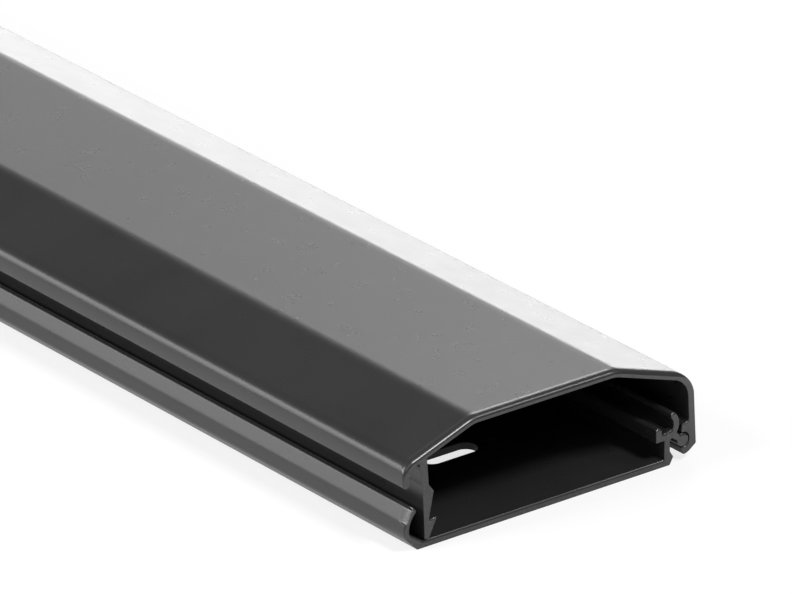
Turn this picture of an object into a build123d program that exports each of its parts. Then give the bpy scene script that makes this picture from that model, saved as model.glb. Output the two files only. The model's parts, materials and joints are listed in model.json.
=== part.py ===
from build123d import *
import os
from math import acos, atan2, cos, degrees, hypot, radians, sin, tan

# Cord cover raceway: a wall rail and a hinged cover, both extruded aluminium.
# Millimetres. X runs across, with the hinge on the +X side, Y along the length, Z up.
# The origin is on the floor, at the middle of the width and of the length.

# Overall size
length = 500.0
overall_width = 60.0
overall_height = 20.0

# Skin of the cover
cover_wall = 1.25
left_flank_run = 14.1
left_flank_angle = 19.3
right_flank_run = 16.0
right_flank_angle = 18.0
hinge_wall_lean = 0.7
crown_bend_radius = 7.0
hinge_corner_radius = 5.2

# Lip of the cover: a corner under the flank, then a bowed face that tucks in at its end
lip_corner_radius = 3.0
lip_face_radius = 5.5
lip_face_lean = 15.0
lip_face_tuck = 6.0

# Soft edges round the outside of the sawn ends
cover_cut_radius = 0.6
lip_cut_radius = 0.4

# Hinge bead of the rail, and the cup of the cover around it
bead_radius = 1.15
hinge_clearance = 0.19
bead_inset = 2.74
bead_height = 3.75
jaw_wall = 1.3
jaw_rise = 2.7
jaw_top_rise = 0.35
jaw_corner_radius = 0.3
jaw_root_radius = 0.6
cup_start_angle = 103.0
cup_end_angle = 256.0
jaw_tip_angle = -75.0
jaw_tip_radius = 0.35
wall_end_drop = 1.28

# Snap leg of the cover: heights from its foot, reaches from its outer face
leg_setback = 1.45
leg_lean = 0.4
leg_root_lean = 1.22
leg_root_width = 1.65
leg_foot_width = 0.9
leg_foot_clearance = 0.15
leg_barb_height = 3.4
leg_barb_reach = 2.55
leg_notch_height = 3.1
leg_notch_reach = 0.83
leg_shoulder_height = 8.1
leg_shoulder_reach = 1.85
leg_waist_height = 9.5
leg_waist_reach = 0.83
leg_edge_radius = 0.2
leg_shoulder_radius = 0.5
crease_drop = 0.3
crease_radius = 0.22

# Plate of the rail
plate_thickness = 1.2

# Curled lip of the rail
base_lip_setback = 0.2
base_lip_reach = 2.7
base_lip_wall = 1.05
lip_heel_angle = 45.0
lip_heel_radius = 2.0
lip_curl_radius = 4.2
lip_flare_angle = 26.0
lip_flare_length = 1.95
lip_tip_radius = 0.6
lip_inside_radius = 4.0
lip_pocket_radius = 0.9
lip_ramp_angle = 34.0

# Hinge wall of the rail
hinge_wall = 1.17
bead_reach = 2.68
foot_point_reach = 0.73
foot_point_height = 1.37
foot_point_top = 2.55
bar_rise = 2.05
bar_thickness = 1.2
bar_overhang = 1.75
rib_width = 1.17
rib_height = 1.25
ridge_offset = 0.5
ridge_width = 0.84
ridge_angle = 45.0
horn_radius = 2.3
horn_wall = 1.15
horn_centre_offset = 1.0
horn_centre_rise = 1.2
horn_start_angle = -34.0
horn_end_angle = 41.0
neck_wall = 1.1
neck_length = 3.0
neck_angle = 143.5

# Screw slots through the plate, one near each end
slot_length = 11.0
slot_width = 4.0
slot_end_distance = 23.5


def from_point(centre, radius, angle):
    """The point at a radius and an angle in degrees from a centre."""
    x, z = centre
    return (x + radius * cos(radians(angle)), z + radius * sin(radians(angle)))


# Places that both sections share
left_x = -overall_width / 2
right_x = overall_width / 2
bead_x = right_x - bead_inset
bead_centre = (bead_x, bead_height)
plate_left_x = left_x + base_lip_setback + base_lip_reach

# Places on the hinge wall of the rail
wall_outer_x = bead_x - bead_reach
wall_inner_x = wall_outer_x - hinge_wall
foot_point_x = wall_outer_x + foot_point_reach
bar_top = bead_height + bar_rise
bar_left_x = wall_inner_x - bar_overhang
rib_straight = rib_height - rib_width / 2
horn_centre = (wall_outer_x - horn_centre_offset, bar_top + horn_centre_rise)
bar_right_x = from_point(horn_centre, horn_radius, horn_start_angle)[0]

# Middle lines of the curved horn and of the neck that carries the bead
horn_line = CenterArc(
    horn_centre, horn_radius, horn_start_angle, horn_end_angle - horn_start_angle
)
neck_line = Line(from_point(bead_centre, neck_length, neck_angle), bead_centre)

# Heel of the curled lip, up to where its curl begins
heel_run = base_lip_reach - lip_heel_radius * (1 - sin(radians(lip_heel_angle)))
heel_rise = heel_run * tan(radians(lip_heel_angle))
curl_x = left_x + base_lip_setback
curl_z = heel_rise + lip_heel_radius * cos(radians(lip_heel_angle))

# Round tip of the curled lip, where its straight flare ends
curl_centre = (curl_x + lip_curl_radius, curl_z)
flare_start = from_point(curl_centre, lip_curl_radius, 180 - lip_flare_angle)
flare_end = from_point(flare_start, lip_flare_length, 90 - lip_flare_angle)
tip_centre = from_point(flare_end, lip_tip_radius, -lip_flare_angle)

# Hollow side of the curled lip: an arc between the lip's wall and its tip
inside_x = curl_x + base_lip_wall + lip_inside_radius
tip_distance = lip_inside_radius + lip_tip_radius
tip_joint_angle = -degrees(acos((inside_x - tip_centre[0]) / tip_distance))
inside_centre = from_point(tip_centre, tip_distance, tip_joint_angle)

# Rail: plate, curled lip, hinge wall with rib, horn and bead, and the slots
with BuildPart() as base_rail:
    with BuildSketch(Plane.XZ) as rail_section:
        # Plate, with the pointed foot of the hinge wall
        Polygon(
            (plate_left_x, 0),
            (wall_outer_x, 0),
            (foot_point_x, foot_point_height),
            (wall_outer_x, foot_point_top),
            (wall_inner_x, foot_point_top),
            (wall_inner_x, plate_thickness),
            (plate_left_x, plate_thickness),
        )

        # Curled lip: heel, curl, flare, round tip, and the pocket behind it
        with BuildLine() as lip_outline:
            heel = Line((plate_left_x, 0), (plate_left_x - heel_run, heel_rise))
            turn = JernArc(heel @ 1, heel % 1, lip_heel_radius, lip_heel_angle - 90)
            JernArc(turn @ 1, turn % 1, lip_curl_radius, -lip_flare_angle)
            Line(flare_start, flare_end)
            tip_start_angle = 180 - lip_flare_angle
            CenterArc(
                tip_centre, lip_tip_radius, tip_start_angle, tip_joint_angle - tip_start_angle
            )
            inside = CenterArc(
                inside_centre, lip_inside_radius, tip_joint_angle + 180, -tip_joint_angle
            )
            pocket = JernArc(inside @ 1, inside % 1, lip_pocket_radius, 90 - lip_ramp_angle)
            ramp_top = pocket @ 1
            ramp_run = (ramp_top.Y - plate_thickness) / tan(radians(lip_ramp_angle))
            ramp_end_x = ramp_top.X + ramp_run
            Polyline(ramp_top, (ramp_end_x, plate_thickness), (ramp_end_x, 0), heel @ 0)
        make_face()

        # Hinge wall and the bar across its top
        with Locations((wall_inner_x, 0)):
            Rectangle(hinge_wall, bar_top, align=(Align.MIN, Align.MIN))
        with Locations((bar_left_x, bar_top)):
            Rectangle(bar_right_x - bar_left_x, bar_thickness, align=(Align.MIN, Align.MAX))

        # Rib with a round top, and the small ridge beside it
        with Locations((bar_left_x, bar_top)):
            Rectangle(rib_width, rib_straight, align=(Align.MIN, Align.MIN))
        with Locations((bar_left_x + rib_width / 2, bar_top + rib_straight)):
            Circle(rib_width / 2)
        with Locations((wall_outer_x - ridge_offset, bar_top)):
            Triangle(
                a=ridge_width, B=ridge_angle, C=ridge_angle, align=(Align.CENTER, Align.MIN)
            )

        # Horn, neck and bead
        SlotArc(horn_line, horn_wall)
        SlotArc(neck_line, neck_wall)
        with Locations(bead_centre):
            Circle(bead_radius)
    extrude(amount=length / 2, both=True)

    # Screw slots across the plate, in the middle of the rail's own width
    slot_x = (left_x + base_lip_setback + foot_point_x) / 2
    slot_y = length / 2 - slot_end_distance
    with BuildSketch(Plane.XY) as screw_slots:
        with Locations((slot_x, -slot_y), (slot_x, slot_y)):
            SlotOverall(slot_length, slot_width)
    extrude(amount=plate_thickness, mode=Mode.SUBTRACT)

    # Soft edge round the curled lip at both sawn ends
    sawn_ends = base_rail.faces().filter_by(Axis.Y).sort_by(SortBy.AREA)[-2:]
    fillet([end.edges().sort_by(Axis.X)[0] for end in sawn_ends], radius=lip_cut_radius)

base_rail.part.label = "base_rail"


def flank_top(x):
    """Height of the left flank's outer face at x."""
    return overall_height - (left_x + left_flank_run - x) * tan(radians(left_flank_angle))


def flank_under(x):
    """Height of the left flank's underside at x."""
    return flank_top(x) - cover_wall / cos(radians(left_flank_angle))


# Corners of the cover's outer line, before they are rounded, down to where the lip's corner begins
hinge_corner_x = right_x - hinge_wall_lean
hinge_corner_z = overall_height - right_flank_run * tan(radians(right_flank_angle))
wall_end = (right_x, bead_height - wall_end_drop)
face_inset = lip_face_radius * (1 - cos(radians(lip_face_lean)))
corner_run = lip_corner_radius * (cos(radians(lip_face_lean)) - sin(radians(left_flank_angle)))
flank_end_x = left_x + face_inset + corner_run
skin_corners = (
    wall_end,
    (hinge_corner_x, hinge_corner_z),
    (hinge_corner_x - right_flank_run, overall_height),
    (left_x + left_flank_run, overall_height),
    (flank_end_x, flank_top(flank_end_x)),
)
skin_radii = (hinge_corner_radius, crown_bend_radius, crown_bend_radius)


def wall_inside(z):
    """Where the leaning hinge wall of the cover has its inner face at height z."""
    lean = hinge_wall_lean / (hinge_corner_z - wall_end[1])
    outer = right_x - (z - wall_end[1]) * lean
    return outer - cover_wall * hypot(1, lean)


# Snap leg, set from the rail's plate and lip
leg_x = plate_left_x + leg_setback
foot_z = plate_thickness + leg_foot_clearance
root_outer_x = leg_x - leg_root_lean
root_inner_x = root_outer_x + leg_root_width
crease = (root_outer_x, flank_under(root_outer_x) - crease_drop)
leg_corners = (
    (root_outer_x, flank_under(root_outer_x) + cover_wall / 2),
    (leg_x - leg_lean, foot_z + leg_waist_height),
    (leg_x, foot_z),
    (leg_x + leg_foot_width, foot_z),
    (leg_x + leg_barb_reach, foot_z + leg_barb_height),
    (leg_x + leg_notch_reach, foot_z + leg_notch_height),
    (leg_x + leg_shoulder_reach, foot_z + leg_shoulder_height),
    (leg_x + leg_waist_reach, foot_z + leg_waist_height),
    (root_inner_x, flank_under(root_inner_x) + cover_wall / 2),
)
leg_radii = (
    0,
    leg_shoulder_radius,
    leg_edge_radius,
    leg_edge_radius,
    leg_edge_radius,
    leg_edge_radius,
    leg_shoulder_radius,
    leg_shoulder_radius,
    0,
)

# Cup and jaws, set from the bead
cup_radius = bead_radius + hinge_clearance
jaw_radius = cup_radius + jaw_wall
cup_start = from_point(bead_centre, cup_radius, cup_start_angle)
cup_end = from_point(bead_centre, cup_radius, cup_end_angle)
wall_end_distance = hypot(bead_inset, wall_end_drop)
wall_end_angle = degrees(atan2(-wall_end_drop, bead_inset))
jaw_tangent_angle = wall_end_angle - degrees(acos(jaw_radius / wall_end_distance))
jaw_top_z = bead_height + jaw_rise
jaw_root_z = jaw_top_z + jaw_top_rise
jaw_blend_z = jaw_root_z + cover_wall
mouth_reach = 2 * jaw_radius

# Outer corner of the lower jaw's end, where its end face meets the disc
tip_offset = cup_radius * cos(radians(cup_end_angle - jaw_tip_angle))
tip_run = (tip_offset**2 + jaw_radius**2 - cup_radius**2) ** 0.5 - tip_offset
jaw_tip = from_point(cup_end, tip_run, jaw_tip_angle)

# Cover: crowned skin, lip, snap leg, and the cup on the hinge side
with BuildPart() as hinged_cover:
    with BuildSketch(Plane.XZ) as cover_section:
        # Skin, with the round end of its lip
        with BuildLine() as skin_outline:
            skin = FilletPolyline(*skin_corners, radius=skin_radii)
            corner_turn = 90 - left_flank_angle - lip_face_lean
            lip_corner = JernArc(skin @ 1, skin % 1, lip_corner_radius, corner_turn)
            lip_face = JernArc(
                lip_corner @ 1, lip_corner % 1, lip_face_radius, lip_face_lean + lip_face_tuck
            )
            lip_end = from_point(tuple(lip_face @ 1)[:2], cover_wall / 2, lip_face_tuck)
            offset(amount=cover_wall, side=Side.LEFT)
        make_face()
        with Locations(lip_end):
            Circle(cover_wall / 2)

        # Snap leg, with a crease beside its root that lets it bend
        with BuildLine() as leg_outline:
            FilletPolyline(*leg_corners, radius=leg_radii, close=True)
        make_face()
        with Locations(crease):
            Circle(crease_radius, mode=Mode.SUBTRACT)

        # Lower jaw: a disc around the bead, open on the side of the neck
        with Locations(bead_centre):
            Circle(jaw_radius)
        Polygon(wall_end, bead_centre, from_point(bead_centre, jaw_radius, jaw_tangent_angle))
        Polygon(
            bead_centre,
            (cup_start[0], bead_height),
            (cup_start[0], bead_height + mouth_reach),
            (bead_x - mouth_reach, bead_height + mouth_reach),
            (bead_x - mouth_reach, bead_height - mouth_reach),
            from_point(cup_end, mouth_reach, jaw_tip_angle),
            cup_end,
            mode=Mode.SUBTRACT,
        )
        fillet(cover_section.vertices().sort_by_distance(jaw_tip)[0], radius=jaw_tip_radius)

        # Upper jaw, which runs into the wall
        with BuildLine() as jaw_outline:
            FilletPolyline(
                (cup_start[0], bead_height),
                (cup_start[0], jaw_top_z),
                (wall_inside(jaw_root_z), jaw_root_z),
                (wall_inside(jaw_blend_z), jaw_blend_z),
                (wall_inside(jaw_blend_z) + cover_wall / 2, jaw_blend_z),
                (wall_inside(bead_height) + cover_wall / 2, bead_height),
                radius=(0, jaw_corner_radius, jaw_root_radius, 0, 0, 0),
                close=True,
            )
        make_face()

        # Cup for the bead
        with Locations(bead_centre):
            Circle(cup_radius, mode=Mode.SUBTRACT)
    extrude(amount=length / 2, both=True)

    # Soft edge round the skin at both sawn ends, from the hinge wall to inside the lip
    sawn_ends = hinged_cover.faces().filter_by(Axis.Y).sort_by(SortBy.AREA)[-2:]
    fillet([end.edges().sort_by(Axis.Z)[-1] for end in sawn_ends], radius=cover_cut_radius)

hinged_cover.part.label = "hinged_cover"

os.makedirs("parts", exist_ok=True)
for piece in (base_rail, hinged_cover):
    export_step(piece.part, f"parts/{piece.part.label}.step")
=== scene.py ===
"""Cord cover raceway: the satin black looks of its rail and its hinged cover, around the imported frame."""

import json
from math import ceil, cos, pi, radians, sin
from typing import NamedTuple

import bmesh
import bpy
from mathutils import Matrix, Vector


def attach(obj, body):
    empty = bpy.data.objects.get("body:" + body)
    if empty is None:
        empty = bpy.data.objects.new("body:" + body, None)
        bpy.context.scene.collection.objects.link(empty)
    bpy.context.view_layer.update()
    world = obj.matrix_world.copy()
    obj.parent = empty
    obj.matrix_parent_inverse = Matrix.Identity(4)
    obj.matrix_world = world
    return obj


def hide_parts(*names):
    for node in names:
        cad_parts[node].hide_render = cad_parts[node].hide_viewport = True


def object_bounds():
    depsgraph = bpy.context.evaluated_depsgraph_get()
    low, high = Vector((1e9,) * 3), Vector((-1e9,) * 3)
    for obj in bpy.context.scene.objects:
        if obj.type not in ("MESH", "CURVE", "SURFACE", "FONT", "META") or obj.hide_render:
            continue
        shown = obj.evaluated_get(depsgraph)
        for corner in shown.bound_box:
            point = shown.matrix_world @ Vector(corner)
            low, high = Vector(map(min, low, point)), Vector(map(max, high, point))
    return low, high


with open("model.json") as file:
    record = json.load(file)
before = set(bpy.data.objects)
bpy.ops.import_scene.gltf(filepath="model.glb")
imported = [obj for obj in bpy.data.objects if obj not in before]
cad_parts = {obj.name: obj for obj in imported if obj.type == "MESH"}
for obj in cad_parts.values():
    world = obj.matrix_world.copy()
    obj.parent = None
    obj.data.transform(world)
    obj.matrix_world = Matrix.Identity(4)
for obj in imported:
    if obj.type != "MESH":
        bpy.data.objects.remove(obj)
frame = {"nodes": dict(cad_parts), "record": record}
cad_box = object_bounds()

MM = 0.001
WELD = 0.001 * MM
RAIL = "base_rail"
COVER = "hinged_cover"
LENGTH = cad_box[1].y - cad_box[0].y


class Facing(NamedTuple):
    """A direction in the section, and how far a place has to face it to be soft at all and fully soft."""

    direction: Vector
    none: float
    full: float


class SawnEdge(NamedTuple):
    """A soft edge of the sawn ends.

    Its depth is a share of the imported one, and its reach along the length a multiple of its depth.
    Its bevel is 0 for a round edge and 1 for one that bows gently to a corner.
    """

    depth_share: float
    reach: float
    bevel: float
    facing: Facing


class Cloud(NamedTuple):
    """A noise, with the values that it runs between."""

    scale: float
    detail: float
    low: float
    high: float


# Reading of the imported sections: what counts as a corner, as straight, as one arc and as too small to keep
SOFT_TURN = radians(20)
FLAT_TURN = radians(0.3)
EVEN_CHORDS = 0.01
TINY_RUN = 0.1 * MM

# Long edges of the profiles, as the die and the coat leave them
ARC_STEP = 0.15 * MM
ARC_TURN = radians(5)
DIE_EDGE = 0.2 * MM
DIE_EDGE_SHARE = 0.3
DIE_EDGE_STEPS = (0.2, 0.4, 0.6, 0.8)
SUPPORT = 0.12 * MM
SUPPORTED_RUN = 5 * SUPPORT
SHARP_ANGLE = radians(38)

# Edges of the sawn ends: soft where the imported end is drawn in, less so on top, nearly crisp elsewhere
CRISP_EDGE = 0.08 * MM
TOP_EDGE = 0.34 * MM
TOP_FACING = Facing(Vector((0, 1)), 0.2, 0.8)
SOFT_EDGE_MIN = 0.25 * MM
EDGE_FADE = 0.6
EDGE_EASE = 0.9
RADIUS_SHARE = 0.7
EDGE_STEPS = 9
COVER_EDGE = SawnEdge(
    depth_share=1.38, reach=1.9, bevel=0.0, facing=Facing(Vector((-0.26, 0.97)), 0.1, 0.9)
)
RAIL_EDGE = SawnEdge(
    depth_share=1.0, reach=5.2, bevel=1.0, facing=Facing(Vector((-0.5, 0.87)), 0.45, 0.8)
)

# Screw slots through the plate, with ends just short of a full round
SLOT_LENGTH = 11 * MM
SLOT_WIDTH = 4 * MM
SLOT_DEPTH = 4 * MM
SLOT_END = 0.4999
SLOT_END_STEPS = 16

# Coat on the long faces: tone, roughness, orange peel and dust nibs
COAT_IOR = 1.55
COAT_TONE = Cloud(60, 3, 0.021, 0.025)
COAT_ROUGHNESS = Cloud(240, 3, 0.272, 0.288)
COAT_PEEL = Cloud(1100, 2, 0, 0.004 * MM)
NIB_SCALE = 60
NIB_REACH = 0.015
NIB_HEIGHT = 0.012 * MM

# Coat on the sawn ends: tone, roughness, grain and saw lines
CUT_IOR = 1.5
CUT_TONE = Cloud(2500, 3, 0.03, 0.06)
CUT_ROUGHNESS = Cloud(900, 3, 0.4, 0.6)
CUT_GRAIN = Cloud(3000, 3, 0, 0.02 * MM)
SAW_LINES = Cloud(1, 2, 0, 0.008 * MM)
SAW_ANGLE = radians(24)
SAW_STRETCH = (60, 60, 4000)

# Noise: the part of its range that is used. Greys: how much more blue they have
CLOUD_MIN = 0.3
CLOUD_MAX = 0.7
COOLNESS = 1.02

# Floor: its glow and its tone for the camera, for the object's shine and for the rest; in the shine it glows
# whiter on the right, a painted light for the backlight from the back right
FLOOR_SIZE = 12.0
FLOOR_DROP = 0.02 * MM
FLOOR_GLOW = 0.77
FLOOR_TONE = 0.22
SHINE_GLOW = 0.25
# Painted light: in the object's reflections the floor glows whiter from here towards the right, standing in
# for backlight from the back right
PAINTED_LIGHT_GLOW_RIGHT = 1.0
PAINTED_LIGHT_START = 0.03
PAINTED_LIGHT_FULL = 0.06
SHINE_TONE = 0.62
PLAIN_GLOW = 0.0
PLAIN_TONE = 0.8

# Surroundings: the light they give, and the white that the camera sees
WORLD_LIGHT = 0.15
WORLD_SEEN = 1.0

# Long lamps behind: degrees about the length, depth behind, brightness
LAMP_DISTANCE = 2.5
STRIP_LENGTH = 1.3
STRIP_BREADTH = 0.45
STRIP_SPREAD = 0.694
STRIPS = {
    "back_right_low": (0, 0.72, 7.4),
    "back_right_mid": (15, 0.66, 0.5),
    "back_right": (30, 0.6, 1.66),
    "back_right_high": (45, 0.6, 0.25),
    "back_left": (150, 0.72, 4.1),
    "back_left_low": (165, 0.72, 2.8),
}

# Softboxes: direction, width, height, brightness
SOFTBOXES = {
    "key": ((0.14, -0.59, 0.79), 0.5, 0.5, 44),
    "front_right": ((0.56, -0.35, 0.75), 0.4, 0.4, 14),
    "top_right": ((0.56, 0.5, 0.66), 0.5, 0.5, 11),
    "top_back": ((0.1, 0.38, 0.92), 0.5, 0.5, 0.8),
    "left_back": ((-0.8, 0.45, 0.385), 0.7, 0.5, 8),
    "left": ((-0.885, 0.14, 0.44), 0.7, 0.5, 22),
    "left_high": ((-0.72, 0.05, 0.69), 0.4, 0.4, 23),
    "front_left": ((-0.45, -0.6, 0.66), 0.8, 0.8, 2.5),
}

# Camera of the photograph: frame in pixels, angles in degrees, distance in metres, sensor in millimetres
IMAGE_WIDTH = 792
IMAGE_HEIGHT = 594
FOCAL_PIXELS = 10010
CORNER_PIXEL = (417.5, 549.9)
CAMERA_ELEVATION = 23.92
CAMERA_AZIMUTH = 38.02
CAMERA_DISTANCE = 1.583
SENSOR_WIDTH = 36


# Section outlines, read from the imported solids


def closed_ring(edges):
    """Points (x, z) along a closed ring of mesh edges, in order, anticlockwise."""
    neighbours = {}
    for edge in edges:
        a, b = edge.verts
        neighbours.setdefault(a, []).append(b)
        neighbours.setdefault(b, []).append(a)
    ring = [next(iter(neighbours))]
    ring.append(neighbours[ring[0]][0])
    while len(ring) < len(neighbours):
        one, other = neighbours[ring[-1]]
        ring.append(other if one is ring[-2] else one)
    points = [Vector((v.co.x, v.co.z)) for v in ring]
    area = sum(p.cross(q) for p, q in zip(points, points[1:] + points[:1]))
    return points if area > 0 else points[::-1]


def welded_copy(node):
    """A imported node's mesh with its loose triangles joined, to read shapes from."""
    mesh = bmesh.new()
    mesh.from_mesh(frame["nodes"][node].data)
    bmesh.ops.remove_doubles(mesh, verts=mesh.verts, dist=WELD)
    return mesh


def middle_outline(node):
    """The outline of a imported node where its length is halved."""
    mesh = welded_copy(node)
    everything = mesh.verts[:] + mesh.edges[:] + mesh.faces[:]
    cut = bmesh.ops.bisect_plane(mesh, geom=everything, plane_co=(0, 0, 0), plane_no=(0, 1, 0))
    points = closed_ring([e for e in cut["geom_cut"] if isinstance(e, bmesh.types.BMEdge)])
    mesh.free()
    return points


def end_outline(node):
    """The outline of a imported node's flat end face, inside its soft edges."""
    mesh = welded_copy(node)
    near_y = min(v.co.y for v in mesh.verts) + WELD
    cap = {f for f in mesh.faces if all(v.co.y < near_y for v in f.verts)}
    rim = {e for f in cap for e in f.edges if sum(g in cap for g in e.link_faces) == 1}
    points = closed_ring(rim)
    mesh.free()
    return points


def turn(before, point, after):
    """Signed angle by which a path turns at a point, positive to the left."""
    return (after - point).angle_signed(point - before, 0.0)


def ring_turns(points):
    """The turn at each point of a closed ring."""
    count = len(points)
    return [turn(points[i - 1], points[i], points[(i + 1) % count]) for i in range(count)]


def drop_flat_points(points):
    """The outline without the points that lie on a straight run."""
    return [point for point, bend in zip(points, ring_turns(points)) if abs(bend) > FLAT_TURN]


def corner_runs(points):
    """The runs between the sharp corners of a closed outline, each as the indices of its two corners."""
    sharp = [i for i, bend in enumerate(ring_turns(points)) if abs(bend) > SOFT_TURN]
    return list(zip(sharp, sharp[1:] + [sharp[0] + len(points)]))


def run_length(run):
    """The length of a run of points."""
    return sum((q - p).length for p, q in zip(run, run[1:]))


def drop_tiny_runs(points):
    """The outline with each tiny run between two sharp corners drawn together to one corner."""
    count = len(points)
    kept = list(points)
    for a, b in corner_runs(points):
        run = [points[i % count] for i in range(a, b + 1)]
        if run_length(run) < TINY_RUN:
            kept[a] = (run[0] + run[-1]) / 2
            for i in range(a + 1, b + 1):
                kept[i % count] = None
    return [point for point in kept if point is not None]


def chord_sweeps(points):
    """The angle of arc that each chord of a faceted outline stands for, 0 on straight runs."""
    count = len(points)
    chords = [points[(i + 1) % count] - points[i] for i in range(count)]
    turns = ring_turns(points)
    soft = [abs(bend) < SOFT_TURN for bend in turns]
    sweeps = [None] * count
    for i in range(count):
        same = abs(chords[i].length - chords[i - 1].length) < EVEN_CHORDS * chords[i].length
        if soft[i] and same:
            sweeps[i - 1] = turns[i]
            sweeps[i] = turns[i]
    while None in sweeps:
        changed = False
        for i in range(count):
            after = (i + 1) % count
            if sweeps[i] is None and soft[i] and sweeps[i - 1] is not None:
                sweeps[i] = 2 * turns[i] - sweeps[i - 1]
                changed = True
            elif sweeps[i] is None and soft[after] and sweeps[after] is not None:
                sweeps[i] = 2 * turns[after] - sweeps[after]
                changed = True
        if not changed:
            unknown = [i for i in range(count) if sweeps[i] is None]
            sweeps[max(unknown, key=lambda i: chords[i].length)] = 0.0
    return sweeps


def round_arcs(points):
    """The outline with each faceted arc made round again."""
    fine = []
    for i, sweep in enumerate(chord_sweeps(points)):
        start = points[i]
        chord = points[(i + 1) % len(points)] - start
        fine.append(start)
        if abs(sweep) < FLAT_TURN:
            continue
        radius = chord.length / (2 * sin(abs(sweep) / 2))
        steps = max(ceil(abs(sweep) / ARC_TURN), ceil(radius * abs(sweep) / ARC_STEP))
        side = Vector((-chord.y, chord.x)).normalized()
        centre = start + chord / 2 + side * (radius * cos(sweep / 2) * (1 if sweep > 0 else -1))
        for step in range(1, steps):
            fine.append(centre + Matrix.Rotation(sweep * step / steps, 2) @ (start - centre))
    return fine


def shorten(run, reach):
    """A run of points with a length taken off at its start."""
    left = reach
    for i in range(len(run) - 1):
        step = run[i + 1] - run[i]
        if step.length > left:
            return [run[i] + step * (left / step.length)] + run[i + 1:]
        left -= step.length
    return run[-1:]


def soften_corners(points):
    """The outline with every sharp corner rounded a little."""
    count = len(points)
    between = corner_runs(points)
    runs = []
    for a, b in between:
        run = [points[i % count] for i in range(a, b + 1)]
        take = min(DIE_EDGE, DIE_EDGE_SHARE * run_length(run))
        run = shorten(run, take)
        runs.append(shorten(run[::-1], take)[::-1])
    soft = []
    for i, run in enumerate(runs):
        following = runs[(i + 1) % len(runs)]
        corner = points[between[i][1] % count]
        soft += run
        for t in DIE_EDGE_STEPS:
            ends = run[-1] * (1 - t) ** 2 + following[0] * t ** 2
            soft.append(ends + corner * (2 * t * (1 - t)))
    return soft


def add_supports(points):
    """The outline with a point close to each end of its long straight runs, which keeps flats flat."""
    full = []
    for point, after in zip(points, points[1:] + points[:1]):
        step = after - point
        full.append(point)
        if step.length > SUPPORTED_RUN:
            inset = step.normalized() * SUPPORT
            full += [point + inset, after - inset]
    return full


def section_outline(node):
    """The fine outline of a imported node's section."""
    points = drop_tiny_runs(drop_flat_points(middle_outline(node)))
    return add_supports(soften_corners(round_arcs(points)))


# Edges of the sawn ends


def distance_to_ring(point, ring):
    """The least distance from a point to a closed ring of points."""
    least = (point - ring[0]).length
    for a, b in zip(ring, ring[1:] + ring[:1]):
        side = b - a
        share = min(max((point - a).dot(side) / side.length_squared, 0), 1)
        least = min(least, (point - a - side * share).length)
    return least


def inward_normals(points):
    """The direction into the solid at each point of an anticlockwise outline."""
    normals = []
    for before, point, after in zip(points[-1:] + points, points, points[1:] + points[:1]):
        along = (point - before).normalized() + (after - point).normalized()
        normals.append(Vector((-along.y, along.x)).normalized())
    return normals


def fade_along(values, points):
    """Values along a closed outline, lowered in two rounds until none rises faster than the fade."""
    count = len(points)
    steps = [(points[(i + 1) % count] - points[i]).length * EDGE_FADE for i in range(count)]
    faded = list(values)
    for _ in range(2):
        for i in range(count):
            faded[i] = min(faded[i], faded[i - 1] + steps[i - 1])
        for i in reversed(range(count)):
            faded[i] = min(faded[i], faded[(i + 1) % count] + steps[i])
    return faded


def keep_order(depths, points):
    """Depths along an outline, lowered until the drawn-in outline nowhere turns back on itself."""
    inward = inward_normals(points)
    following = points[1:] + points[:1]
    while True:
        drawn = [point + normal * depth for point, normal, depth in zip(points, inward, depths)]
        steps = zip(points, following, drawn, drawn[1:] + drawn[:1])
        turned = [i for i, (p, q, a, b) in enumerate(steps) if (q - p).dot(b - a) <= 0]
        if not turned:
            return depths
        for i in turned:
            for k in (i, (i + 1) % len(points)):
                depths[k] *= EDGE_EASE
        depths = fade_along(depths, points)


def facing_share(outward, facing):
    """How far a direction meets a facing, from 0 to 1."""
    met = (outward.dot(facing.direction) - facing.none) / (facing.full - facing.none)
    return min(max(met, 0), 1)


def cut_edge_depths(points, end_points, edge):
    """How deep the sawn edge is rounded at each point of a section."""
    drawn_in = [distance_to_ring(point, end_points) for point in points]
    soft = sorted(depth for depth in drawn_in if depth > SOFT_EDGE_MIN)
    soft_depth = soft[len(soft) // 2] * edge.depth_share
    turns = ring_turns(points)
    following = points[1:] + points[:1]
    depths = []
    for i, inward in enumerate(inward_normals(points)):
        depth = CRISP_EDGE + (TOP_EDGE - CRISP_EDGE) * facing_share(-inward, TOP_FACING)
        if drawn_in[i] > SOFT_EDGE_MIN:
            share = facing_share(-inward, edge.facing)
            depth = max(depth, CRISP_EDGE + (soft_depth - CRISP_EDGE) * share)
        if turns[i] > FLAT_TURN:
            reach = ((points[i] - points[i - 1]).length + (following[i] - points[i]).length) / 2
            depth = min(depth, RADIUS_SHARE * reach / turns[i])
        depths.append(depth)
    return keep_order(fade_along(depths, points), points)


# Node trees


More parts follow.
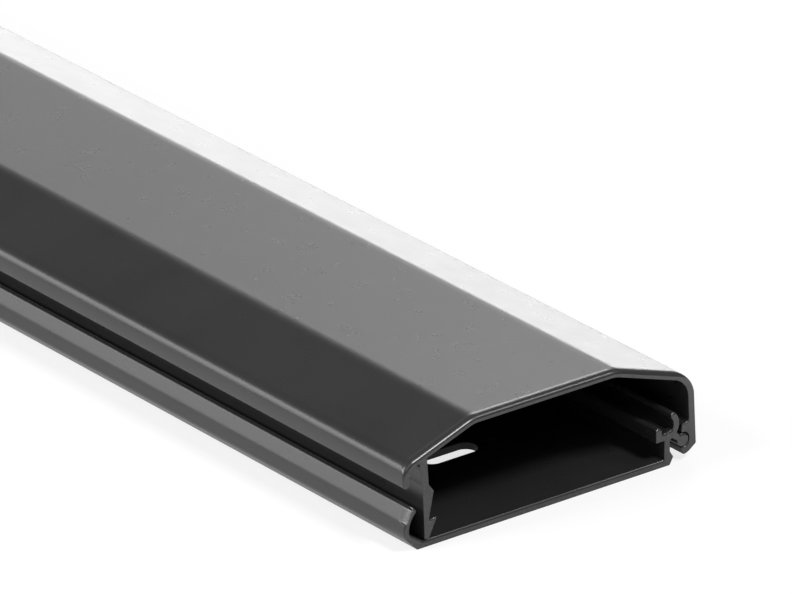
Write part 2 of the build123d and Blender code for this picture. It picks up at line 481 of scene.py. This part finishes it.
class Nodes:
    """A node tree, and short calls to fill it."""

    def __init__(self, tree):
        self.tree = tree

    def link(self, source, socket):
        """Feeds a socket from another socket, or sets it to a plain value."""
        if isinstance(source, bpy.types.NodeSocket):
            self.tree.links.new(source, socket)
        else:
            socket.default_value = source

    def add(self, kind, settings=None, **feeds):
        """A node of a kind, with settings, and with inputs by name (spaces as underscores)."""
        node = self.tree.nodes.new(kind)
        for key, value in (settings or {}).items():
            setattr(node, key, value)
        for label, source in feeds.items():
            wanted = label.replace("_", " ")
            self.link(source, next(s for s in node.inputs if s.name == wanted and s.enabled))
        return node

    def fed(self, node, *sources):
        """The first output of a node, with its inputs fed in order."""
        for source, socket in zip(sources, node.inputs):
            self.link(source, socket)
        return node.outputs[0]

    def math(self, operation, *values):
        """The result of a math node."""
        return self.fed(self.add("ShaderNodeMath", {"operation": operation}), *values)

    def vector_math(self, operation, *values):
        """The result of a vector math node."""
        return self.fed(self.add("ShaderNodeVectorMath", {"operation": operation}), *values)

    def joined(self, *parts):
        """The join of several geometries."""
        join = self.add("GeometryNodeJoinGeometry")
        for part in parts:
            self.link(part, join.inputs[0])
        return join.outputs[0]


def geometry_tree(name, inputs):
    """An empty geometry tree with named inputs, with its input sockets and its output socket."""
    group = bpy.data.node_groups.new(name, "GeometryNodeTree")
    group.interface.new_socket("Geometry", in_out="INPUT", socket_type="NodeSocketGeometry")
    for label, kind in inputs.items():
        group.interface.new_socket(label, in_out="INPUT", socket_type=f"NodeSocket{kind}")
    group.interface.new_socket("Geometry", in_out="OUTPUT", socket_type="NodeSocketGeometry")
    nodes = Nodes(group)
    return nodes, nodes.add("NodeGroupInput").outputs, nodes.add("NodeGroupOutput").inputs[0]


def profile_tree():
    """Tree that draws a section outline out to a length, with rounded cut edges and filled ends."""
    nodes, given, result = geometry_tree(
        "extruded_profile",
        {
            "Length": "Float",
            "Edge Steps": "Int",
            "Edge Support": "Float",
            "Edge Bevel": "Float",
            "Long Finish": "Material",
            "Cut Finish": "Material",
        },
    )
    outline = given["Geometry"]
    steps = given["Edge Steps"]
    bevel = given["Edge Bevel"]
    half = nodes.math("MULTIPLY", given["Length"], 0.5)
    place = nodes.add("GeometryNodeInputPosition").outputs[0]
    draw_in = nodes.add("GeometryNodeInputNamedAttribute", {"data_type": "FLOAT_VECTOR"}, Name="draw_in")
    draw_back = nodes.add("GeometryNodeInputNamedAttribute", {"data_type": "FLOAT"}, Name="draw_back")

    # Long walls: a grid with a column for each outline point, and two rings more than steps at each end
    size = nodes.add("GeometryNodeAttributeDomainSize", Geometry=outline)
    count = size.outputs["Point Count"]
    rings = nodes.math("MULTIPLY_ADD", steps, 2.0, 4.0)
    columns = nodes.math("ADD", count, 1.0)
    grid = nodes.add("GeometryNodeMeshGrid", Vertices_X=columns, Vertices_Y=rings)
    index = nodes.add("GeometryNodeInputIndex").outputs[0]
    ring = nodes.math("MODULO", index, rings)
    column = nodes.math("MODULO", nodes.math("FLOOR", nodes.math("DIVIDE", index, rings)), count)

    def at_column(value, kind):
        """A value of the outline at the grid point's own column."""
        sample = nodes.add(
            "GeometryNodeSampleIndex", {"data_type": kind}, Geometry=outline, Value=value, Index=column
        )
        return sample.outputs[0]

    wall_place = at_column(place, "FLOAT_VECTOR")
    wall_in = at_column(draw_in.outputs["Attribute"], "FLOAT_VECTOR")
    wall_back = at_column(draw_back.outputs["Attribute"], "FLOAT")

    # Rings near an end follow a quarter turn or a bow, and the innermost one holds the wall straight
    last = nodes.math("SUBTRACT", rings, 1.0)
    from_end = nodes.math("MINIMUM", ring, nodes.math("SUBTRACT", last, ring))
    share = nodes.math("MINIMUM", nodes.math("DIVIDE", from_end, steps), 1.0)
    angle = nodes.math("MULTIPLY", share, pi / 2)
    round_in = nodes.math("SUBTRACT", 1.0, nodes.math("SINE", angle))
    round_back = nodes.math("SUBTRACT", 1.0, nodes.math("COSINE", angle))
    bowed_in = nodes.math("POWER", nodes.math("SUBTRACT", 1.0, share), 2.0)
    inward = nodes.math("MULTIPLY_ADD", bevel, nodes.math("SUBTRACT", bowed_in, round_in), round_in)
    backward = nodes.math("MULTIPLY_ADD", bevel, nodes.math("SUBTRACT", share, round_back), round_back)
    held = nodes.math("MAXIMUM", nodes.math("SUBTRACT", from_end, steps), 0.0)
    support = nodes.math("MULTIPLY", held, given["Edge Support"])
    setback = nodes.math("MULTIPLY_ADD", wall_back, backward, support)
    along = nodes.math("SUBTRACT", half, setback)
    far_side = nodes.math("GREATER_THAN", ring, nodes.math("MULTIPLY", last, 0.5))
    sign = nodes.math("MULTIPLY_ADD", far_side, 2.0, -1.0)

    def stood_up(flat_place, length_place):
        """A place in the flat outline, stood up in the section at a place along the length."""
        flat = nodes.add("ShaderNodeSeparateXYZ", Vector=flat_place).outputs
        return nodes.add("ShaderNodeCombineXYZ", X=flat["X"], Y=length_place, Z=flat["Y"]).outputs[0]

    drawn_place = nodes.vector_math("MULTIPLY_ADD", wall_in, inward, wall_place)
    walls = nodes.add(
        "GeometryNodeSetPosition",
        Geometry=grid.outputs["Mesh"],
        Position=stood_up(drawn_place, nodes.math("MULTIPLY", along, sign)),
    )
    walls = nodes.add("GeometryNodeSetMaterial", Geometry=walls.outputs[0], Material=given["Long Finish"])

    # Cut ends: the drawn-in outline, filled
    curve = nodes.add("GeometryNodeSetPosition", Geometry=outline, Offset=draw_in.outputs["Attribute"])
    curve = nodes.add("GeometryNodeMeshToCurve", Mesh=curve.outputs[0])
    face = nodes.add("GeometryNodeFillCurve", Curve=curve.outputs[0])
    face = nodes.add("GeometryNodeSetMaterial", Geometry=face.outputs[0], Material=given["Cut Finish"])
    parts = [walls.outputs[0]]
    for end in (-1.0, 1.0):
        end_place = stood_up(place, nodes.math("MULTIPLY", half, end))
        cap = nodes.add("GeometryNodeSetPosition", Geometry=face.outputs[0], Position=end_place)
        parts.append(cap.outputs[0])

    merged = nodes.add("GeometryNodeMergeByDistance", Geometry=nodes.joined(*parts), Distance=WELD / 2)
    real = nodes.add("GeometryNodeRealizeInstances", Geometry=merged.outputs[0])
    nodes.link(real.outputs[0], result)
    return nodes.tree


def slot_tree():
    """Tree that cuts a round-ended slot through the plate at each of two places."""
    nodes, given, result = geometry_tree(
        "screw_slots",
        {
            "Slot Length": "Float",
            "Slot Width": "Float",
            "Slot Depth": "Float",
            "First Place": "Vector",
            "Second Place": "Vector",
            "Finish": "Material",
        },
    )
    box = nodes.add(
        "GeometryNodeCurvePrimitiveQuadrilateral",
        Width=given["Slot Length"],
        Height=given["Slot Width"],
    )
    rounded = nodes.add(
        "GeometryNodeFilletCurve",
        {"mode": "POLY"},
        Curve=box.outputs[0],
        Radius=nodes.math("MULTIPLY", given["Slot Width"], SLOT_END),
        Count=SLOT_END_STEPS,
    )
    face = nodes.add("GeometryNodeFillCurve", Curve=rounded.outputs[0])
    rise = nodes.add("ShaderNodeCombineXYZ", Z=given["Slot Depth"])
    tall = nodes.add(
        "GeometryNodeExtrudeMesh",
        Mesh=face.outputs[0],
        Offset=rise.outputs[0],
        Offset_Scale=1.0,
        Individual=False,
    )
    under = nodes.add("GeometryNodeFlipFaces", Mesh=face.outputs[0])
    plug = nodes.joined(tall.outputs["Mesh"], under.outputs[0])
    plug = nodes.add("GeometryNodeMergeByDistance", Geometry=plug, Distance=WELD / 2)
    line = nodes.add(
        "GeometryNodeMeshLine", {"mode": "END_POINTS"}, Count=2, Start_Location=given["First Place"]
    )
    nodes.link(given["Second Place"], line.inputs["Offset"])
    plugs = nodes.add("GeometryNodeInstanceOnPoints", Points=line.outputs[0], Instance=plug.outputs[0])
    plugs = nodes.add("GeometryNodeRealizeInstances", Geometry=plugs.outputs[0])
    plugs = nodes.add("GeometryNodeSetMaterial", Geometry=plugs.outputs[0], Material=given["Finish"])
    cut = nodes.add("GeometryNodeMeshBoolean", {"operation": "DIFFERENCE"})
    nodes.link(given["Geometry"], cut.inputs["Mesh 1"])
    nodes.link(plugs.outputs[0], cut.inputs["Mesh 2"])
    nodes.link(cut.outputs[0], result)
    return nodes.tree


def apply_tree(piece, group, values):
    """Runs a tree on a piece with values for its named inputs, and keeps the result as a plain mesh."""
    modifier = piece.modifiers.new(group.name, "NODES")
    modifier.node_group = group
    for socket in group.interface.items_tree:
        if socket.in_out == "INPUT" and socket.name in values:
            modifier[socket.identifier] = values[socket.name]
    graph = bpy.context.evaluated_depsgraph_get()
    mesh = bpy.data.meshes.new_from_object(piece.evaluated_get(graph))
    piece.modifiers.remove(modifier)
    old = piece.data
    piece.data = mesh
    bpy.data.meshes.remove(old)


# Pieces


def outline_object(name, node, edge):
    """An object with a node's section in the XY plane, and the rounding of its sawn edge at each point."""
    points = section_outline(node)
    depths = cut_edge_depths(points, end_outline(node), edge)
    mesh = bpy.data.meshes.new(name)
    edges = [(i, (i + 1) % len(points)) for i in range(len(points))]
    mesh.from_pydata([(p.x, p.y, 0) for p in points], edges, [])
    mesh.attributes.new("draw_in", "FLOAT_VECTOR", "POINT")
    mesh.attributes.new("draw_back", "FLOAT", "POINT")
    draw_in = mesh.attributes["draw_in"].data
    draw_back = mesh.attributes["draw_back"].data
    deepest = max(depths)
    for i, (inward, depth) in enumerate(zip(inward_normals(points), depths)):
        softness = max(depth - TOP_EDGE, 0) / (deepest - TOP_EDGE)
        draw_in[i].vector = (inward * depth).to_3d()
        draw_back[i].value = depth * (1 + (edge.reach - 1) * softness)
    piece = bpy.data.objects.new(name, mesh)
    bpy.context.scene.collection.objects.link(piece)
    return piece


def extruded_piece(name, node, edge, tree, long_finish, cut_finish):
    """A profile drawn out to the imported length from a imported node's own section."""
    piece = outline_object(name, node, edge)
    apply_tree(
        piece,
        tree,
        {
            "Length": LENGTH,
            "Edge Steps": EDGE_STEPS,
            "Edge Support": SUPPORT,
            "Edge Bevel": edge.bevel,
            "Long Finish": long_finish,
            "Cut Finish": cut_finish,
        },
    )
    return piece


def keep_finishes(mesh, finishes):
    """Leaves a mesh with these finishes alone, on the faces that have them now."""
    now = [mesh.materials[face.material_index] for face in mesh.polygons]
    mesh.materials.clear()
    for material in finishes:
        mesh.materials.append(material)
    for face, material in zip(mesh.polygons, now):
        face.material_index = finishes.index(material)


def close_mesh(piece, long_finish, cut_finish):
    """Closes a piece's mesh, turns its faces outwards and shades it smooth along the length."""
    mesh = bmesh.new()
    mesh.from_mesh(piece.data)
    bmesh.ops.remove_doubles(mesh, verts=mesh.verts, dist=WELD / 2)
    bmesh.ops.recalc_face_normals(mesh, faces=mesh.faces)
    mesh.to_mesh(piece.data)
    mesh.free()
    keep_finishes(piece.data, [long_finish, cut_finish])
    piece.data.shade_smooth()
    piece.data.set_sharp_from_angle(angle=SHARP_ANGLE)
    for face in piece.data.polygons:
        face.use_smooth = face.material_index == 0


# Finishes


def new_finish(name, ior):
    """A new material with its nodes, its shader and a socket with the place on the object in metres."""
    material = bpy.data.materials.new(name)
    material.use_nodes = True
    nodes = Nodes(material.node_tree)
    shader = material.node_tree.nodes["Principled BSDF"]
    shader.inputs["IOR"].default_value = ior
    return material, nodes, shader, nodes.add("ShaderNodeTexCoord").outputs["Object"]


def noise(nodes, place, cloud):
    """A noise socket that runs between two values."""
    raw = nodes.add("ShaderNodeTexNoise", Vector=place, Scale=cloud.scale, Detail=cloud.detail)
    spread = nodes.add(
        "ShaderNodeMapRange",
        Value=raw.outputs[0],
        From_Min=CLOUD_MIN,
        From_Max=CLOUD_MAX,
        To_Min=cloud.low,
        To_Max=cloud.high,
    )
    return spread.outputs[0]


def grey(nodes, tone):
    """A grey of a tone that comes from a socket, very slightly cool."""
    cool = nodes.math("MULTIPLY", tone, COOLNESS)
    return nodes.add("ShaderNodeCombineColor", Red=tone, Green=tone, Blue=cool).outputs[0]


def relief(nodes, shader, height):
    """Gives a shader a fine relief, with its height in metres."""
    bump = nodes.add("ShaderNodeBump", Strength=1.0, Distance=1.0, Height=height)
    nodes.link(bump.outputs[0], shader.inputs["Normal"])


def satin_coat(name):
    """Satin black coat over aluminium: a fine orange peel, a few dust nibs and a slightly uneven sheen."""
    material, nodes, shader, place = new_finish(name, COAT_IOR)
    nodes.link(grey(nodes, noise(nodes, place, COAT_TONE)), shader.inputs["Base Color"])
    nodes.link(noise(nodes, place, COAT_ROUGHNESS), shader.inputs["Roughness"])
    peel = noise(nodes, place, COAT_PEEL)
    dust = nodes.add("ShaderNodeTexVoronoi", Vector=place, Scale=NIB_SCALE).outputs["Distance"]
    nibs = nodes.add("ShaderNodeMapRange", Value=dust, From_Max=NIB_REACH, To_Min=NIB_HEIGHT, To_Max=0.0)
    relief(nodes, shader, nodes.math("ADD", peel, nibs.outputs[0]))
    return material


def cut_coat(name):
    """The same coat over a sawn end: greyer and duller, with a coarse grain and faint saw lines."""
    material, nodes, shader, place = new_finish(name, CUT_IOR)
    nodes.link(grey(nodes, noise(nodes, place, CUT_TONE)), shader.inputs["Base Color"])
    nodes.link(noise(nodes, place, CUT_ROUGHNESS), shader.inputs["Roughness"])
    grain = noise(nodes, place, CUT_GRAIN)
    turned = nodes.add(
        "ShaderNodeMapping", Vector=place, Rotation=(0, SAW_ANGLE, 0), Scale=SAW_STRETCH
    )
    lines = noise(nodes, turned.outputs[0], SAW_LINES)
    relief(nodes, shader, nodes.math("ADD", grain, lines))
    return material


# Stage: floor, light and camera


def shader_mix(nodes, share, first, second):
    """The mix of two shaders."""
    return nodes.fed(nodes.add("ShaderNodeMixShader"), share, first, second)


def floor_shader(nodes, glow, tone):
    """A shader with a glow of its own and a tone that takes light and shadow."""
    light = nodes.add("ShaderNodeEmission", Strength=glow)
    pale = nodes.add("ShaderNodeBsdfDiffuse", Color=(tone, tone, tone, 1))
    return nodes.fed(nodes.add("ShaderNodeAddShader"), light.outputs[0], pale.outputs[0])


def floor_material():
    """White floor that keeps a faint shadow, greyer where the object mirrors it but with a painted glow that
    brightens it on the right in those reflections, and clear from below.
    """
    material = bpy.data.materials.new("white_floor")
    material.use_nodes = True
    nodes = Nodes(material.node_tree)
    material.node_tree.nodes.remove(material.node_tree.nodes["Principled BSDF"])
    path = nodes.add("ShaderNodeLightPath").outputs
    place = nodes.add("ShaderNodeTexCoord").outputs["Object"]
    # Glow of the floor in the object's reflections, rising towards the right: painted light standing in for
    # backlight from the back right
    painted_light_glow = nodes.add(
        "ShaderNodeMapRange",
        Value=nodes.add("ShaderNodeSeparateXYZ", Vector=place).outputs["X"],
        From_Min=PAINTED_LIGHT_START,
        From_Max=PAINTED_LIGHT_FULL,
        To_Min=SHINE_GLOW,
        To_Max=PAINTED_LIGHT_GLOW_RIGHT,
    )
    plain = floor_shader(nodes, PLAIN_GLOW, PLAIN_TONE)
    shining = floor_shader(nodes, painted_light_glow.outputs[0], SHINE_TONE)
    seen = floor_shader(nodes, FLOOR_GLOW, FLOOR_TONE)
    clear = nodes.add("ShaderNodeBsdfTransparent").outputs[0]
    shines = nodes.math("MAXIMUM", path["Is Glossy Ray"], path["Is Transmission Ray"])
    from_below = nodes.add("ShaderNodeNewGeometry").outputs["Backfacing"]
    surface = shader_mix(nodes, shines, plain, shining)
    surface = shader_mix(nodes, path["Is Camera Ray"], surface, seen)
    surface = shader_mix(nodes, from_below, surface, clear)
    nodes.link(surface, material.node_tree.nodes["Material Output"].inputs["Surface"])
    return material


def add_floor():
    """A wide plain floor, a hair under the object so that the two faces don't coincide."""
    mesh = bpy.data.meshes.new("floor")
    half = FLOOR_SIZE / 2
    corners = [(x, y, -FLOOR_DROP) for x, y in ((-half, -half), (half, -half), (half, half), (-half, half))]
    mesh.from_pydata(corners, [], [(0, 1, 2, 3)])
    mesh.materials.append(floor_material())
    floor = bpy.data.objects.new("floor", mesh)
    bpy.context.scene.collection.objects.link(floor)


def set_world():
    """Plain pale surroundings, white to the camera."""
    world = bpy.data.worlds.new("studio")
    bpy.context.scene.world = world
    world.use_nodes = True
    nodes = Nodes(world.node_tree)
    back = world.node_tree.nodes["Background"]
    back.inputs["Color"].default_value = (1, 1, 1, 1)
    camera_ray = nodes.add("ShaderNodeLightPath").outputs["Is Camera Ray"]
    strength = nodes.add("ShaderNodeMapRange", Value=camera_ray, To_Min=WORLD_LIGHT, To_Max=WORLD_SEEN)
    nodes.link(strength.outputs[0], back.inputs["Strength"])


def add_lamp(name, place, width, height, radiance):
    """A flat lamp of even brightness at a place, hidden from the camera."""
    light = bpy.data.lights.new(name, "AREA")
    light.shape = "RECTANGLE"
    light.size = width
    light.size_y = height
    light.energy = radiance * pi * width * height
    lamp = bpy.data.objects.new(name, light)
    lamp.matrix_world = place
    lamp.visible_camera = False
    bpy.context.scene.collection.objects.link(lamp)


def softbox(name, direction, width, height, radiance):
    """A lamp that faces the object from a direction."""
    away = Vector(direction).normalized()
    place = away.to_track_quat("Z", "Y").to_matrix().to_4x4()
    place.translation = away * LAMP_DISTANCE
    add_lamp(name, place, width, height, radiance)


def strip_lamp(name, degrees, depth, radiance):
    """A long lamp behind the object, at an angle about its length, for the reflections in the long faces."""
    angle = radians(degrees)
    across = Vector((-sin(angle), 0, cos(angle)))
    away = Vector((STRIP_SPREAD * cos(angle), depth, STRIP_SPREAD * sin(angle))).normalized()
    place = Matrix((across, away.cross(across), away)).transposed().to_4x4()
    place.translation = away * LAMP_DISTANCE
    add_lamp(name, place, STRIP_BREADTH, STRIP_LENGTH, radiance)


def add_lights():
    """Long lamps behind for the reflections in the long faces, and softboxes all round."""
    for name, values in STRIPS.items():
        strip_lamp(name, *values)
    for name, values in SOFTBOXES.items():
        softbox(name, *values)


def add_camera(corner_x):
    """The photograph's camera, placed from the rail's near left corner in its frame."""
    elevation = radians(CAMERA_ELEVATION)
    azimuth = radians(CAMERA_AZIMUTH)
    back = Vector((-sin(azimuth) * cos(elevation), -cos(azimuth) * cos(elevation), sin(elevation)))
    right = Vector((cos(azimuth), -sin(azimuth), 0))
    up = back.cross(right)
    corner = Vector((corner_x, -LENGTH / 2, 0))
    pixel = CAMERA_DISTANCE / FOCAL_PIXELS
    sideways = (CORNER_PIXEL[0] - IMAGE_WIDTH / 2) * pixel
    upwards = (CORNER_PIXEL[1] - IMAGE_HEIGHT / 2) * pixel
    camera = bpy.data.objects.new("camera", bpy.data.cameras.new("camera"))
    camera.data.sensor_fit = "HORIZONTAL"
    camera.data.sensor_width = SENSOR_WIDTH
    camera.data.lens = FOCAL_PIXELS / IMAGE_WIDTH * SENSOR_WIDTH
    place = Matrix((right, up, back)).transposed().to_4x4()
    place.translation = corner - right * sideways + up * upwards + back * CAMERA_DISTANCE
    camera.matrix_world = place
    bpy.context.scene.collection.objects.link(camera)
    bpy.context.scene.camera = camera


# The object

long_finish = satin_coat("satin_black_coat")
cut_finish = cut_coat("coated_cut_end")
profile = profile_tree()

rail = extruded_piece("wall_rail", RAIL, RAIL_EDGE, profile, long_finish, cut_finish)
slot_places = [
    Vector(m["pos_m"]) - Vector((0, 0, SLOT_DEPTH / 2))
    for m in frame["record"]["mounts"]
    if m["name"].startswith("screw_slot")
]
apply_tree(
    rail,
    slot_tree(),
    {
        "Slot Length": SLOT_LENGTH,
        "Slot Width": SLOT_WIDTH,
        "Slot Depth": SLOT_DEPTH,
        "First Place": slot_places[0],
        "Second Place": slot_places[1],
        "Finish": long_finish,
    },
)
cover = extruded_piece("crowned_cover", COVER, COVER_EDGE, profile, long_finish, cut_finish)

for piece, node, body in ((rail, RAIL, "base"), (cover, COVER, "cover")):
    close_mesh(piece, long_finish, cut_finish)
    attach(piece, body)
    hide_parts(node)

# The stage

rail_foot = [p.x for p in middle_outline(RAIL) if p.y < WELD]
add_floor()
set_world()
add_lights()
add_camera(min(rail_foot))
bpy.context.scene.view_settings.view_transform = "Standard"
